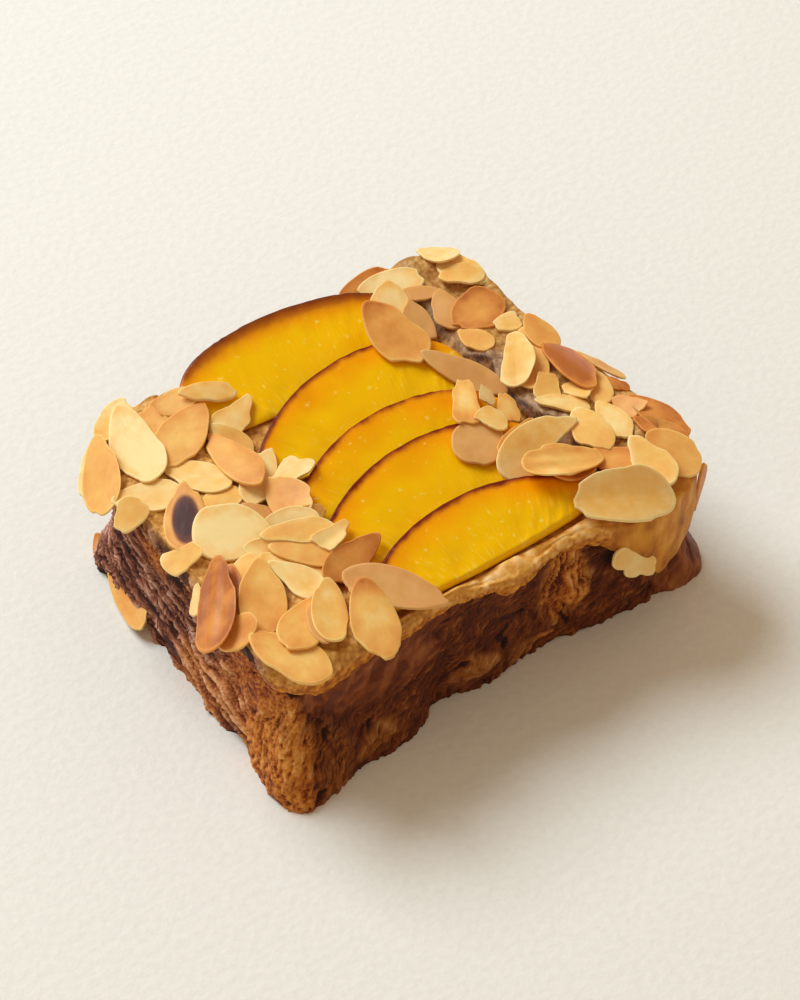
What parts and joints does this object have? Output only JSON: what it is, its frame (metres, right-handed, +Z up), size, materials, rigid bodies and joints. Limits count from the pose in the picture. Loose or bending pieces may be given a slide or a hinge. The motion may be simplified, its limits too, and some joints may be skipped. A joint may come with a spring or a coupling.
{
  "type": "bostock",
  "caption": "Rectangular slice of laminated brioche under almond cream, with a row of peach slices between two bands of flaked almonds.",
  "frame": {"origin": "on the surface it rests on, under the middle of the whole slice", "axes": "+X along the long side, +Y towards the highest peach slice, +Z up"},
  "size_m": [0.1252, 0.0992, 0.0467],
  "materials": {
    "bread": "dark caramelised crumb of laminated brioche, torn into strands, glossy in places",
    "almond_cream": "baked almond cream, grainy on top and smooth where it ran down",
    "flaked_almond": "toasted flaked almond, slightly translucent",
    "peach": "baked peach flesh, moist, with a dark red-brown skin edge"
  },
  "bodies": {
    "root": {"bread": "bread", "almond_cream": "almond_cream", "peach_1": "peach", "peach_2": "peach", "peach_3": "peach", "peach_4": "peach", "peach_5": "peach"}
  },
  "joints": []
}
